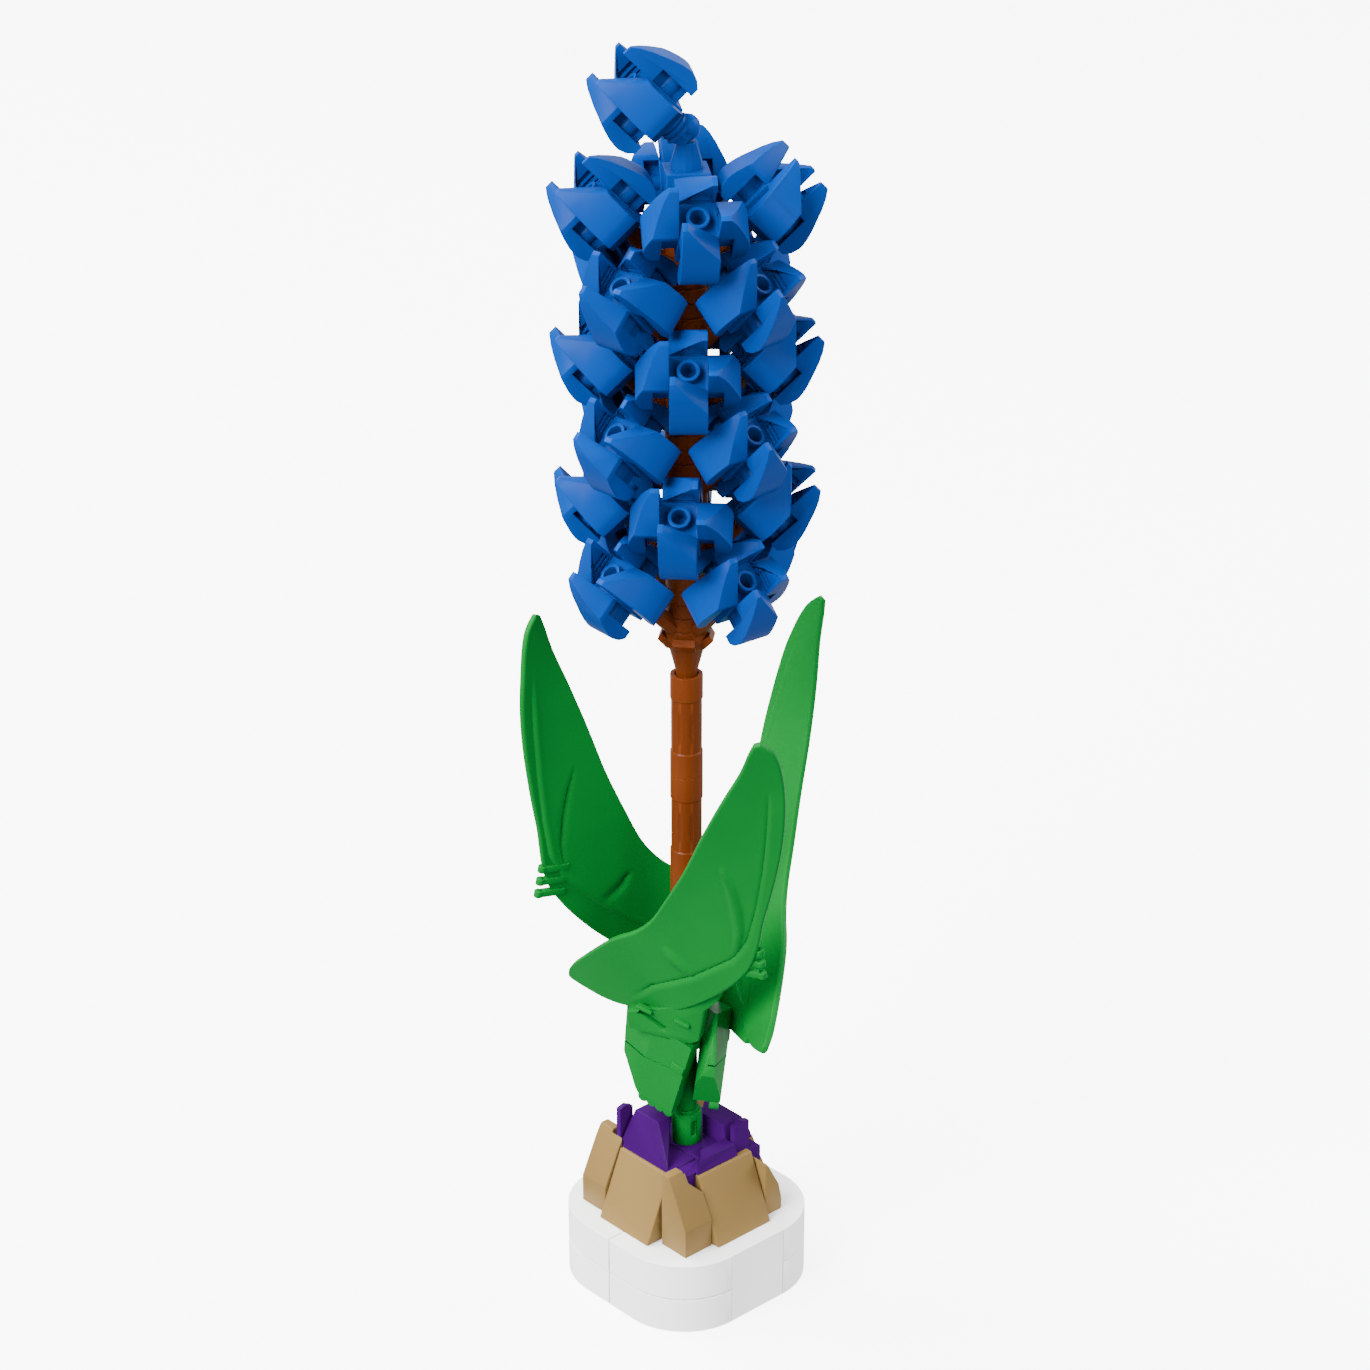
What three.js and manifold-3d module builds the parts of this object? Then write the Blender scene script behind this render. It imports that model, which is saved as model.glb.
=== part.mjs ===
// Brick-built hyacinth growing from a bulb on a white base.
// Millimetres, +Z up, origin at the middle of the base's underside, base sides along X and Y.
import * as THREE from "three";
import Module from "manifold-3d";
import { mergeVertices } from "three/addons/utils/BufferGeometryUtils.js";

const wasm = await Module();
wasm.setup();

const DEG = Math.PI / 180;

// Base: two layers of corner blocks, with an insert through both layers at the front and the back
const LAYER_H = 8.8;
const BASE_H = 2 * LAYER_H;
const BASE_HALF = 24;
const BASE_CORNER_R = 16;
const INSERT_HALF = 8;

// Bulb: distances are measured outwards from the stem's axis
const FACE_HALF = 8.2;
const FACE_FOOT = 19.7;
const FACE_TOP = 13.1;
const FACE_BACK = 11.3;
const FACE_TOP_Z = 33.6;
const FACE_SLOPE = (FACE_FOOT - FACE_TOP) / (FACE_TOP_Z - BASE_H);
// Corner pieces: reach and height down the curved back, then from and to along the side
const CORNER = { curve: [[9.6, 36.2], [11.8, 36.2], [13.4, 33.4], [16.4, 27], [17.6, 24.4]], from: 8.4, to: 16.4 };
const SMALL_CORNER = { curve: [[8.5, 32], [9.5, 31], [13, 24.6], [13.9, 20.4]], from: 9.4, to: 17.4 };
const HEART_HALF = 12;
const HEART_BODY = 11.2;
const HEART_BULGE = 12.6;
const HEART_GAP = 0.1;
const HEART_WELL = 4.4;
const HEART_SIDE = 9;
const HEART_LEAN = 1.5;
const HEART_END_SLOPE = 0.9;
const HEART_SLOPE_Z = 33.7;
const HEART_FLOOR_Z = 34.4;
const HEART_BROW_Z = 36.4;
const CHANNEL_HALF = 3.6;
const SHELF_Z = 33;
const FIN_THICK = 1.4;
const FIN_ROOT = 2;
const FIN_CHAMFER = 1;
// Tall left side and lower right side, each with a fin: its near end, far end, distance out and top
const HEART_LEFT = { top: 42.4, fin: [-12, -8, 10.7, 43.2] };
const HEART_RIGHT = { top: 39.4, fin: [-9.2, -4.6, 11.1, 41] };

// Stem
const SOCKET_R = 3.4;
const SOCKET_TOP_Z = 42.4;
const SLOT_TURN = -12.5;
const FOOT_R = 2.45;
const FOOT_TOP_Z = 88;
const TUBE_R = 3.6;
const TUBE_WAIST_R = 3.35;
const TUBE_BORE_R = 2.6;
const TUBE_LEN = 24;
const TUBE_COLLAR = 7.4;
const TUBE_TOP_Z = 151.9;
const RIM = 0.4;
const SIDES = 16;

// Flower head: rings of four florets, each ring turned by 45 degrees and a little more
const RING_COUNT = 6;
const RING_TOP_Z = 259.3;
const RING_PITCH = 16;
const RING_AZIMUTH = -126.1;
const RING_TWIST = -2.65;
const FACE_R = 19.2;
const TILT = 45 * DEG;
const HUB_HALF = 4;
const HUB_LEN = 9.6;
const STUD_R = 2.4;
const STUD_BORE_R = 1.6;
const STUD_H = 1.7;
const STUD_BORE_DEPTH = 4;
const PETAL_LEN = 16;
const PETAL_HALF = 3.9;
const PETAL_OVERHANG = 7.2;
const PETAL_STUD_DROP = 4.8;
const PETAL_NOSE = 1.1;
const PETAL_TAPER = 8;
// Petal's outer side: distance out from its inner face, and down from its tip
const PETAL_BACK = [[2.4, 0], [4.45, 4], [5.95, 8.2], [6.8, 12], [5, PETAL_LEN]];
// Its root stands off the hub by this much, below the seat on the hub's edge
const PETAL_STANDOFF = 3.2;
const PETAL_SEAT = 8;
const SINK = 0.05;
const SEAT_GAP = 0.2;

// Spine
const SPINE_R = 4.35;
const SPINE_BOTTOM_Z = 158;
const SPINE_TOP_Z = 264;
const ARM_R = 2;
const PEG_R = 2.35;
const CONE_R = 3.8;
// Lip that flares out at the foot of the spine, on four sides
const LIP_SECTION = [[0, 158.6], [4, 158.6], [6, 160.6], [5.2, 162], [3.4, 160.4], [0, 160.4]];
const LIP_HALF = 2.4;

// Crown
const CROWN_AZIMUTH = -216.1;
const CROWN_R = 10.7;
const CROWN_Z = 281.5;
const CROWN_JOINT_Z = CROWN_Z - CROWN_R;
const CROWN_SEAT_Z = CROWN_JOINT_Z - 0.7;
const BARREL_R = 3;

// Leaves: blade edges in the leaf's own plane, from the tip, past the elbow at 0,0, to the tip of the lobe
const OUTER_EDGE = [
  [11, 70], [13.3, 66.5], [13.9, 60.4], [13.2, 50.2], [11.4, 40.3], [8.7, 30.3], [5.1, 19.2],
  [-1.2, 1.8], [-18.7, -13.8], [-36.3, -19.7], [-48.3, -18], [-49.9, -16],
];
const INNER_EDGE = [
  [9.6, 69.5], [8, 66.5], [5.2, 60.6], [-0.2, 51.4], [-5.8, 41.2], [-11.8, 29.5], [-18, 19.1],
  [-22.7, 11.8], [-27.6, 6.8], [-35.1, 1.3], [-46.5, -10.4], [-49.6, -14.8],
];
const LEAF_NECK = [[-14, -8.5], [-25, -12], [-33, -17], [-33, -23], [-18, -24], [-15, -18]];
const NECK_MIDDLE = [-24, -16];
const NECK_REACH = 8;
const NECK_BACK_Z = -3.4;
const NECK_FRONT_Z = -1;
const LEAF_THICK = 1.8;
const LEAF_BAND = 0.26;
const LEAF_BAND_RISE = 0.5;
const LEAF_CURL = [-0.00163, 0.00185, -0.00452];
// Teeth beyond the elbow: length, width and thickness, and where the first one starts
const TOOTH = [4.6, 1.7, 2.2];
const TOOTH_ROOT = 4;
const TOOTH_START = 1;
const TOOTH_PITCH = 3.2;
// Each leaf: elbow position, then turn about the stem, lean and roll, in degrees,
// and its bracket's side, lift and reach
const LEAVES = {
  leaf_front: { at: [-5.6, -27.5, 89.9], turn: -66.7, lean: 102, roll: 1.2, side: 0, lift: 0, out: 0 },
  leaf_left: { at: [-20.9, 23.4, 94.9], turn: 167.1, lean: 83.8, roll: 6.6, side: -120, lift: 4, out: 5.5 },
  leaf_back: { at: [23.7, 10.4, 85.7], turn: 67.5, lean: 108, roll: -2.4, side: 120, lift: 1, out: 0 },
};

// Brackets: shield-shaped wedges round the foot tube, one for each leaf
const BRACKET_OUTLINE = [[-3.9, 12.2], [-0.2, -2.9], [7.2, -10], [16.3, -9.2], [16, 12.2]];
const BRACKET_SECTION = [[-4.5, -3.6], [6, 0], [16.5, 0], [16.5, -3.2], [13, -6.2], [3, -6.2]];
const BRACKET = { at: [-11.9, 8.6, 59.6], turn: -75.7, lean: 96.7, roll: -19.8 };
// Strut from the foot tube out to the bracket that stands off it
const STRUT_R = 2;
const STRUT_Z = 64;
const STRUT_LEN = 10.5;
const STRUT_AZIMUTH = 74.3 * DEG;

const plastic = (color, roughness) => new THREE.MeshStandardMaterial({ color, roughness, metalness: 0 });
const BLUE = plastic(0x0b5fb4, 0.3);
const BROWN = plastic(0x84441d, 0.28);
const GREEN = plastic(0x1f9f33, 0.35);
const PURPLE = plastic(0x4b1a87, 0.35);
const TAN = plastic(0xae9364, 0.4);
const WHITE = plastic(0xf1f1f0, 0.35);

function toSolid(geometry) {
  const bare = geometry.clone();
  bare.deleteAttribute("normal");
  bare.deleteAttribute("uv");
  const merged = mergeVertices(bare, 1e-5);
  return new wasm.Manifold(new wasm.Mesh({
    numProp: 3,
    vertProperties: new Float32Array(merged.attributes.position.array),
    triVerts: new Uint32Array(merged.index.array),
  }));
}

function toGeometry(solid) {
  const mesh = solid.getMesh();
  const geometry = new THREE.BufferGeometry();
  geometry.setAttribute("position", new THREE.BufferAttribute(new Float32Array(mesh.vertProperties), 3));
  geometry.setIndex(new THREE.BufferAttribute(new Uint32Array(mesh.triVerts), 1));
  geometry.computeVertexNormals();
  return geometry;
}

const fuse = (...solids) => solids.reduce((sum, solid) => sum.add(solid));

const points = (pairs) => pairs.map(([x, y]) => new THREE.Vector2(x, y));

// Outline in X,Y raised along Z
function slab(pairs, z0, z1) {
  const shape = new THREE.Shape(points(pairs));
  return new THREE.ExtrudeGeometry(shape, { depth: z1 - z0, bevelEnabled: false }).translate(0, 0, z0);
}

// Outline given as X,Z pairs, running along Y
const slabAlongY = (pairs, y0, y1) => slab(pairs, -y1, -y0).rotateX(90 * DEG);

// Outline given as Y,Z pairs, running along X
const slabAlongX = (pairs, x0, x1) => slab(pairs, x0, x1).rotateX(90 * DEG).rotateZ(90 * DEG);

function box(x0, x1, y0, y1, z0, z1) {
  const geometry = new THREE.BoxGeometry(x1 - x0, y1 - y0, z1 - z0);
  return geometry.translate((x0 + x1) / 2, (y0 + y1) / 2, (z0 + z1) / 2);
}

// Closed turned shape from radius,height pairs that start and end on the axis
const turned = (pairs, sides) => new THREE.LatheGeometry(points(pairs), sides).rotateX(90 * DEG);

const rod = (radius, z0, z1, sides) => turned([[0, z0], [radius, z0], [radius, z1], [0, z1]], sides);

const group = new THREE.Group();
group.name = "hyacinth_with_bulb";

function addMesh(parent, name, solid, material) {
  const mesh = new THREE.Mesh(toGeometry(solid), material);
  mesh.name = name;
  parent.add(mesh);
  return mesh;
}

function turnedGroup(azimuth) {
  const arm = new THREE.Group();
  arm.rotation.z = azimuth;
  group.add(arm);
  return arm;
}

// ---- White base ----

function cornerBlock(sideX, sideY, z0) {
  const centre = BASE_HALF - BASE_CORNER_R;
  const outline = [[INSERT_HALF * sideX, 0], [BASE_HALF * sideX, 0]];
  const steps = 10;
  for (let i = 0; i <= steps; i += 1) {
    const angle = (i / steps) * 90 * DEG;
    outline.push([
      sideX * (centre + BASE_CORNER_R * Math.cos(angle)),
      sideY * (centre + BASE_CORNER_R * Math.sin(angle)),
    ]);
  }
  return toSolid(slab(sideX * sideY > 0 ? outline : outline.reverse(), z0, z0 + LAYER_H));
}

function buildBase() {
  [["lower", 0], ["upper", LAYER_H]].forEach(([layer, z0]) => {
    [[-1, -1, "front_left"], [1, -1, "front_right"], [1, 1, "back_right"], [-1, 1, "back_left"]].forEach(
      ([sideX, sideY, place]) => {
        addMesh(group, `base_corner_${layer}_${place}`, cornerBlock(sideX, sideY, z0), WHITE);
      },
    );
  });
  const insert = toSolid(box(-INSERT_HALF, INSERT_HALF, -BASE_HALF, 0, 0, BASE_H));
  addMesh(group, "base_insert_front", insert, WHITE);
  addMesh(turnedGroup(Math.PI), "base_insert_back", insert, WHITE);
}

// ---- Bulb ----

function bulbFace() {
  return toSolid(slabAlongX(
    [[-FACE_BACK, BASE_H], [-FACE_BACK, FACE_TOP_Z], [-FACE_TOP, FACE_TOP_Z], [-FACE_FOOT, BASE_H]],
    -FACE_HALF,
    FACE_HALF,
  ));
}

function bulbCorner({ curve, from, to }) {
  const outer = curve.map(([reach, z]) => [-reach, z]);
  const profile = [[outer[0][0], BASE_H], ...outer, [outer.at(-1)[0], BASE_H]];
  const inner = HEART_HALF + HEART_GAP;
  const room = toSolid(box(-inner, inner, -inner, inner, 0, HEART_LEFT.top));
  return toSolid(slabAlongX(profile, -to, -from)).subtract(room);
}

// Open way from the well out through the front corner, where two sides meet
const channel = () => toSolid(box(
  -CHANNEL_HALF, CHANNEL_HALF, -HEART_BULGE * 2, 0, HEART_FLOOR_Z, HEART_LEFT.top + 1,
)).rotate([0, 0, -45]);

function heartSide({ top, fin: [finStart, finEnd, finOut, finTop] }) {
  const edge = FACE_HALF - HEART_GAP;
  const rise = top - HEART_SLOPE_Z;
  const across = slabAlongY(
    [
      [-HEART_BODY, BASE_H], [-HEART_WELL, BASE_H], [-HEART_WELL, top],
      [FACE_SLOPE * rise - HEART_BULGE, top], [-HEART_BULGE, HEART_SLOPE_Z], [-HEART_BODY, HEART_SLOPE_Z],
    ],
    -edge,
    HEART_SIDE,
  );
  const along = slabAlongX(
    [
      [HEART_SIDE, BASE_H], [HEART_SIDE, HEART_SLOPE_Z], [HEART_SIDE - HEART_LEAN, top],
      [HEART_END_SLOPE * rise - edge, top], [-edge, HEART_SLOPE_Z], [-edge, BASE_H],
    ],
    -HEART_BULGE,
    -HEART_WELL,
  );
  const plan = slab(
    [
      [-HEART_BULGE, -edge], [-HEART_WELL, -edge], [-HEART_WELL, HEART_SIDE],
      [-HEART_HALF, HEART_SIDE], [-HEART_HALF, edge], [-HEART_BULGE, edge],
    ],
    BASE_H,
    top,
  );
  const slope = toSolid(across).intersect(toSolid(along)).intersect(toSolid(plan)).subtract(channel());
  const shelf = toSolid(box(-HEART_BODY, -HEART_WELL, edge, HEART_BODY, BASE_H, SHELF_Z));
  const cornerPost = FACE_HALF + HEART_GAP;
  const post = toSolid(box(-HEART_HALF, -cornerPost, cornerPost, HEART_HALF, BASE_H, SHELF_Z));
  const fin = toSolid(slabAlongY(
    [
      [finStart, SHELF_Z - FIN_ROOT], [finEnd, SHELF_Z - FIN_ROOT], [finEnd, finTop - FIN_CHAMFER],
      [(finStart + finEnd) / 2, finTop], [finStart, finTop - FIN_CHAMFER / 2],
    ],
    finOut - FIN_THICK,
    finOut,
  ));
  return fuse(slope, shelf, post, fin);
}

function heartEnd() {
  const right = HEART_WELL - HEART_GAP;
  const back = -FACE_HALF;
  const edge = FACE_HALF - HEART_GAP;
  const block = (x0, x1, y0, y1) => toSolid(box(x0, x1, y0, y1, BASE_H, HEART_FLOOR_Z));
  const brow = toSolid(slabAlongX(
    [
      [-HEART_BULGE, HEART_SLOPE_Z], [back, HEART_SLOPE_Z], [back, HEART_BROW_Z],
      [FACE_SLOPE * (HEART_BROW_Z - HEART_SLOPE_Z) - HEART_BULGE, HEART_BROW_Z],
    ],
    -edge,
    right,
  )).subtract(channel());
  return fuse(
    block(-HEART_HALF, right, -HEART_BODY, back),
    block(-HEART_HALF, back - HEART_GAP, -HEART_HALF, back),
    block(-right, right, back - 1, -HEART_GAP / 2),
    brow,
  );
}

function buildBulb() {
  const face = bulbFace();
  ["front", "right", "back", "left"].forEach((place, i) => {
    const arm = turnedGroup(i * 90 * DEG);
    addMesh(arm, `bulb_face_${place}`, face, TAN);
    addMesh(arm, `bulb_corner_${place}`, bulbCorner(place === "right" ? SMALL_CORNER : CORNER), TAN);
  });
  const end = heartEnd();
  addMesh(group, "bulb_heart_left", heartSide(HEART_LEFT), PURPLE);
  addMesh(group, "bulb_heart_front", end, PURPLE);
  const opposite = turnedGroup(Math.PI);
  addMesh(opposite, "bulb_heart_right", heartSide(HEART_RIGHT), PURPLE);
  addMesh(opposite, "bulb_heart_back", end, PURPLE);
}

// ---- Stem ----

const strut = (radius) => rod(radius, 0, STRUT_LEN + radius - STRUT_R, 10)
  .rotateY(90 * DEG).rotateZ(STRUT_AZIMUTH).translate(0, 0, STRUT_Z);

function footTube() {
  const socket = toSolid(turned(
    [
      [0, HEART_FLOOR_Z], [SOCKET_R - 0.6, HEART_FLOOR_Z], [SOCKET_R, HEART_FLOOR_Z + 0.6],
      [SOCKET_R, SOCKET_TOP_Z - RIM], [SOCKET_R - RIM, SOCKET_TOP_Z], [0, SOCKET_TOP_Z],
    ],
    SIDES,
  ));
  const slot = toSolid(box(-0.6, 0.6, -SOCKET_R - 1, -SOCKET_R + 0.8, 36.5, 40.8));
  return socket.subtract(slot.rotate([0, 0, SLOT_TURN]))
    .add(toSolid(rod(FOOT_R, SOCKET_TOP_Z - 1, FOOT_TOP_Z, SIDES)))
    .add(toSolid(strut(STRUT_R)));
}

function stemTube(z0) {
  const z1 = z0 + TUBE_LEN;
  return toSolid(turned(
    [
      [0, z0], [TUBE_R - RIM, z0], [TUBE_R, z0 + RIM], [TUBE_R, z0 + TUBE_COLLAR - RIM],
      [TUBE_WAIST_R, z0 + TUBE_COLLAR], [TUBE_WAIST_R, z1 - TUBE_COLLAR],
      [TUBE_R, z1 - TUBE_COLLAR + RIM], [TUBE_R, z1 - RIM], [TUBE_R - RIM, z1], [0, z1],
    ],
    SIDES,
  )).subtract(toSolid(rod(TUBE_BORE_R, z0 - 1, z1 + 1, SIDES)));
}

function buildStem() {
  addMesh(group, "foot_tube", footTube(), GREEN);
  ["upper", "middle", "lower"].forEach((place, i) => {
    addMesh(group, `stem_tube_${place}`, stemTube(TUBE_TOP_Z - (i + 1) * TUBE_LEN), BROWN);
  });
}

// ---- Flower head ----

const ringAzimuth = (ring) => (RING_AZIMUTH + ring * RING_TWIST + (ring % 2) * 45) * DEG;
const ringZ = (ring) => RING_TOP_Z - ring * RING_PITCH;
const HUB_DROP = HUB_LEN * Math.cos(TILT);

// Reclining rod from the stem's axis, along the floret's own axis
function arm(axisZ, azimuth, radius, length, sides) {
  const geometry = rod(radius, 0, length, sides).rotateY(TILT).rotateZ(azimuth);
  return toSolid(geometry.translate(0, 0, axisZ));
}

function buildSpine() {
  const length = (FACE_R - HUB_DROP) / Math.sin(TILT) - SEAT_GAP;
  const parts = [toSolid(turned(
    [
      [0, TUBE_TOP_Z - 8], [PEG_R, TUBE_TOP_Z - 8], [PEG_R, TUBE_TOP_Z + 0.5], [CONE_R, SPINE_BOTTOM_Z],
      [SPINE_R, SPINE_BOTTOM_Z + 1], [SPINE_R, SPINE_TOP_Z], [0, SPINE_TOP_Z],
    ],
    16,
  ))];
  for (let ring = 0; ring < RING_COUNT; ring += 1) {
    for (let i = 0; i < 4; i += 1) {
      parts.push(arm(ringZ(ring) - FACE_R, ringAzimuth(ring) + i * 90 * DEG, ARM_R, length, 6));
    }
  }
  const lip = slabAlongY(LIP_SECTION, -LIP_HALF, LIP_HALF);
  for (let i = 0; i < 4; i += 1) {
    parts.push(toSolid(lip.clone().rotateZ(ringAzimuth(RING_COUNT - 1) + (i * 90 + 45) * DEG)));
  }
  addMesh(group, "spine", fuse(...parts), BROWN);
}

// Petal on the hub's +X side, its tip beyond the hub's front end at +Z
function petal() {
  const tipZ = HUB_LEN + PETAL_OVERHANG;
  const side = [
    [0, 0], ...PETAL_BACK, [PETAL_STANDOFF, PETAL_LEN], [PETAL_STANDOFF, PETAL_SEAT], [0, PETAL_SEAT],
  ].map(([out, down]) => [HUB_HALF - SINK + out, tipZ - down]);
  const plan = [
    [-PETAL_HALF, 0], [PETAL_NOSE - PETAL_HALF, 0], [PETAL_HALF, PETAL_TAPER],
    [PETAL_HALF, PETAL_LEN], [-PETAL_HALF, PETAL_LEN],
  ].map(([across, down]) => [across, tipZ - down]);
  const blade = toSolid(slabAlongY(side, -PETAL_HALF, PETAL_HALF))
    .intersect(toSolid(slabAlongX(plan, 0, 3 * HUB_HALF)));
  const pegZ = HUB_LEN - PETAL_STUD_DROP;
  const peg = toSolid(rod(STUD_R, HUB_HALF - 0.5, HUB_HALF + 4, 6).rotateY(90 * DEG).translate(0, 0, pegZ));
  return blade.add(peg);
}

function floret() {
  const hub = toSolid(box(-HUB_HALF, HUB_HALF, -HUB_HALF, HUB_HALF, 0, HUB_LEN));
  const stud = toSolid(rod(STUD_R, HUB_LEN - 1, HUB_LEN + STUD_H, 12));
  const bore = toSolid(rod(STUD_BORE_R, HUB_LEN + STUD_H - STUD_BORE_DEPTH, HUB_LEN + STUD_H + 1, 12));
  const one = petal();
  const petals = [0, 90, 180, 270].map((angle) => one.rotate([0, 0, angle]));
  return fuse(hub, stud, ...petals).subtract(bore);
}

function placeFloret(solid, name, azimuth, faceR, faceZ) {
  const mesh = addMesh(turnedGroup(azimuth), name, solid, BLUE);
  mesh.rotation.y = TILT;
  mesh.position.set(faceR - HUB_DROP, 0, faceZ - HUB_DROP);
}

function buildHead() {
  const solid = floret();
  for (let ring = 0; ring < RING_COUNT; ring += 1) {
    for (let i = 0; i < 4; i += 1) {
      placeFloret(solid, `floret_${ring + 1}_${i + 1}`, ringAzimuth(ring) + i * 90 * DEG, FACE_R, ringZ(ring));
    }
  }
  placeFloret(solid, "floret_top", CROWN_AZIMUTH * DEG, CROWN_R, CROWN_Z);
}

function buildCrown() {
  addMesh(group, "crown_cone", toSolid(turned(
    [
      [0, SPINE_TOP_Z], [3.3, SPINE_TOP_Z], [3.3, SPINE_TOP_Z + 2], [2.2, CROWN_SEAT_Z - 0.6],
      [2.2, CROWN_SEAT_Z], [0, CROWN_SEAT_Z],
    ],
    16,
  )), BLUE);
  const elbow = new THREE.SphereGeometry(BARREL_R - 0.1, 12, 8).translate(0, 0, CROWN_JOINT_Z + 2.2);
  const length = (CROWN_R - HUB_DROP) / Math.sin(TILT) - SEAT_GAP;
  const barrel = arm(CROWN_JOINT_Z, CROWN_AZIMUTH * DEG, BARREL_R, length, 12);
  const below = toSolid(box(-9, 9, -9, 9, SPINE_TOP_Z, CROWN_SEAT_Z));
  addMesh(group, "crown_elbow", toSolid(elbow).add(barrel).subtract(below), BLUE);
}

// ---- Leaves and brackets ----

// Frame facing along +Z with its top towards +Y, turned about the stem, then leant and rolled
function posedGroup(parent, pose) {
  const outer = new THREE.Group();
  outer.position.set(...pose.at);
  outer.rotation.z = pose.turn * DEG;
  parent.add(outer);
  const middle = new THREE.Group();
  middle.rotation.x = pose.lean * DEG;
  outer.add(middle);
  const inner = new THREE.Group();
  inner.rotation.z = pose.roll * DEG;
  middle.add(inner);
  inner.updateWorldMatrix(true, false);
  return inner;
}

// Strip of the blade between two fractions of its width, curled like the blade
function leafStrip(from, to, start, end, low, high, columns, rows) {
  const outer = new THREE.SplineCurve(points(OUTER_EDGE));
  const inner = new THREE.SplineCurve(points(INNER_EDGE));
  const geometry = new THREE.BoxGeometry(1, 1, 1, columns, rows, 1);
  const position = geometry.attributes.position;
  for (let i = 0; i < position.count; i += 1) {
    const along = start + (0.5 - position.getY(i)) * (end - start);
    const across = from + (0.5 - position.getX(i)) * (to - from);
    const spot = outer.getPoint(along).lerp(inner.getPoint(along), across);
    const curl = LEAF_CURL[0] * spot.x ** 2 + LEAF_CURL[1] * spot.y ** 2 + LEAF_CURL[2] * spot.x * spot.y;
    position.setXYZ(i, spot.x, spot.y, curl + (position.getZ(i) > 0 ? high : low));
  }
  return toSolid(geometry);
}

// Plate that runs from the blade down to the bracket, or the room it takes up there
function leafNeck(margin) {
  const grow = 1 + margin / NECK_REACH;
  const [middleX, middleY] = NECK_MIDDLE;
  const outline = LEAF_NECK.map(([x, y]) => [middleX + (x - middleX) * grow, middleY + (y - middleY) * grow]);
  return slab(outline, NECK_BACK_Z - margin, NECK_FRONT_Z + margin);
}

function leaf() {
  const blade = leafStrip(0, 1, 0, 1, -LEAF_THICK / 2, LEAF_THICK / 2, 4, 18);
  const band = leafStrip(0.02, LEAF_BAND, 0.1, 0.86, 0, LEAF_THICK / 2 + LEAF_BAND_RISE, 1, 14);
  const [length, width, thick] = TOOTH;
  const teeth = [0, 1, 2].map((i) => TOOTH_START + i * TOOTH_PITCH)
    .map((start) => toSolid(box(-TOOTH_ROOT, length, start, start + width, -thick / 2, thick / 2)));
  return fuse(blade, band, toSolid(leafNeck(0)), ...teeth);
}

// Shield-shaped wedge with a folded face, hollowed where it clips round the foot tube and the leaf's neck
function bracket(place, leafPlace) {
  const shield = toSolid(slab(BRACKET_OUTLINE, -10, 2));
  const folded = toSolid(slabAlongY(BRACKET_SECTION, -14, 14));
  const inward = place.matrixWorld.clone().invert();
  const core = rod(FOOT_R + SEAT_GAP, 0, FOOT_TOP_Z + 20, SIDES).applyMatrix4(inward);
  const neck = leafNeck(SEAT_GAP * 2).applyMatrix4(leafPlace.matrixWorld).applyMatrix4(inward);
  const reach = strut(STRUT_R + SEAT_GAP).applyMatrix4(inward);
  return [core, neck, reach].reduce((left, cut) => left.subtract(toSolid(cut)), shield.intersect(folded));
}

function buildLeaves() {
  const blade = leaf();
  Object.entries(LEAVES).forEach(([name, pose]) => {
    const leafPlace = posedGroup(group, pose);
    addMesh(leafPlace, name, blade, GREEN);
    const side = turnedGroup(pose.side * DEG);
    const outward = (pose.side + BRACKET.turn - 90) * DEG;
    side.position.set(pose.out * Math.cos(outward), pose.out * Math.sin(outward), pose.lift);
    const place = posedGroup(side, BRACKET);
    addMesh(place, name.replace("leaf", "leaf_bracket"), bracket(place, leafPlace), GREEN);
  });
}

buildBase();
buildBulb();
buildStem();
buildSpine();
buildHead();
buildCrown();
buildLeaves();

export default group;
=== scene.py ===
import math

import bpy
from mathutils import Matrix, Vector


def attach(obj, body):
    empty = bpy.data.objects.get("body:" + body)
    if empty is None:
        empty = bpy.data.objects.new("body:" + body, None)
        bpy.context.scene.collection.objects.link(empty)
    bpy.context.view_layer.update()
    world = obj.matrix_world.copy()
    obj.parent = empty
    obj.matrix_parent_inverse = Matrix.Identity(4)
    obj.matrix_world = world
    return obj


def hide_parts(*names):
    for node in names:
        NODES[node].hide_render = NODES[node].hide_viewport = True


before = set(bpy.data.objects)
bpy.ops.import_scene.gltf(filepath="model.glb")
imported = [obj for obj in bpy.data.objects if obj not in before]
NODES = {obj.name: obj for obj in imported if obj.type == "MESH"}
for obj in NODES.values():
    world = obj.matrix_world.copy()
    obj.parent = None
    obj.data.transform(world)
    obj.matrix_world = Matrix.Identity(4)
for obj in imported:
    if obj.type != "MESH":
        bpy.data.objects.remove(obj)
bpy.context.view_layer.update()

# Sizes below are in millimetres, and MM turns them into Blender's metres.
# A pair named _X, _Y or _Z is the two ends of something along that axis.
MM = 0.001
AXIS = Vector((0, 0, 1))

# The photograph's camera: how far it stands from the stem, how high it looks from and its picture angle
CAMERA_AZIMUTH = math.radians(-42.5)
CAMERA_ELEVATION = math.radians(25)
CAMERA_DISTANCE = 778
AIM_HEIGHT = 149
LENS = 94.68
AXIS_OFFSET = -0.0011

# Edges that a mould leaves: how far they are rounded
EDGE = 0.2
FINE_EDGE = 0.12
SOFT_EDGE = 0.4

# White base: two layers of corner blocks with thin seams, and inserts two layers tall
LAYER = 8.8
BASE_HALF = 24
BASE_CORNER_R = 16
BASE_CORNER_CUTS = 28
INSERT_HALF = 8
BLOCK_SEAM = 0.15
LAYER_SEAM = 0.32

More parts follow.
